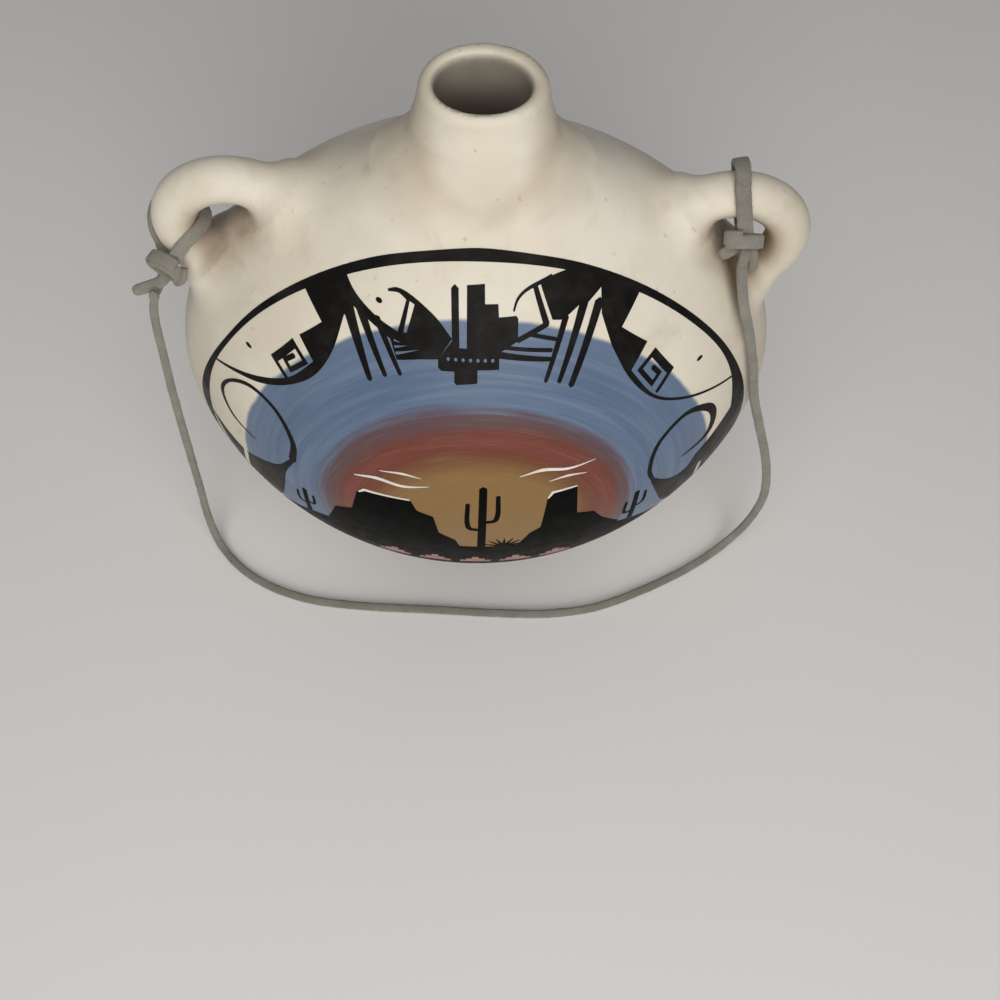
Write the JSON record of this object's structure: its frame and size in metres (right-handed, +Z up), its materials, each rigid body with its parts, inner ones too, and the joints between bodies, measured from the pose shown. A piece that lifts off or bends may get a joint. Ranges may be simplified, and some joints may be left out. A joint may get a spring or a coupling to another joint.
{
  "type": "clay canteen",
  "caption": "Flattened round clay canteen with an oval pouring neck, a rolled lug on each shoulder, a painted face and a knotted suede carrying lace that swings from the lugs.",
  "frame": {"origin": "middle of the flat foot, on the table", "axes": "+Z up through the neck, -Y towards the painted front, +X towards the lug on the viewer's right"},
  "size_m": [0.1922, 0.1222, 0.1925],
  "materials": {
    "clay": "satin fired clay",
    "suede": "matte suede"
  },
  "bodies": {
    "vessel": {"front_shell": "clay", "back_shell": "clay", "neck": "clay", "left_lug": "clay", "right_lug": "clay", "left_loop": "suede", "left_knot": "suede", "left_tail": "suede", "right_loop": "suede", "right_knot": "suede", "right_tail": "suede"},
    "strap": {"lace": "suede"}
  },
  "joints": [
    {"name": "strap_swing", "type": "hinge", "parent": "vessel", "child": "strap", "pos_m": [-0.00937, -0.01429, 0.13762], "axis": [-0.9946, -0.0031, -0.1036], "range_deg": [0, 140]}
  ]
}
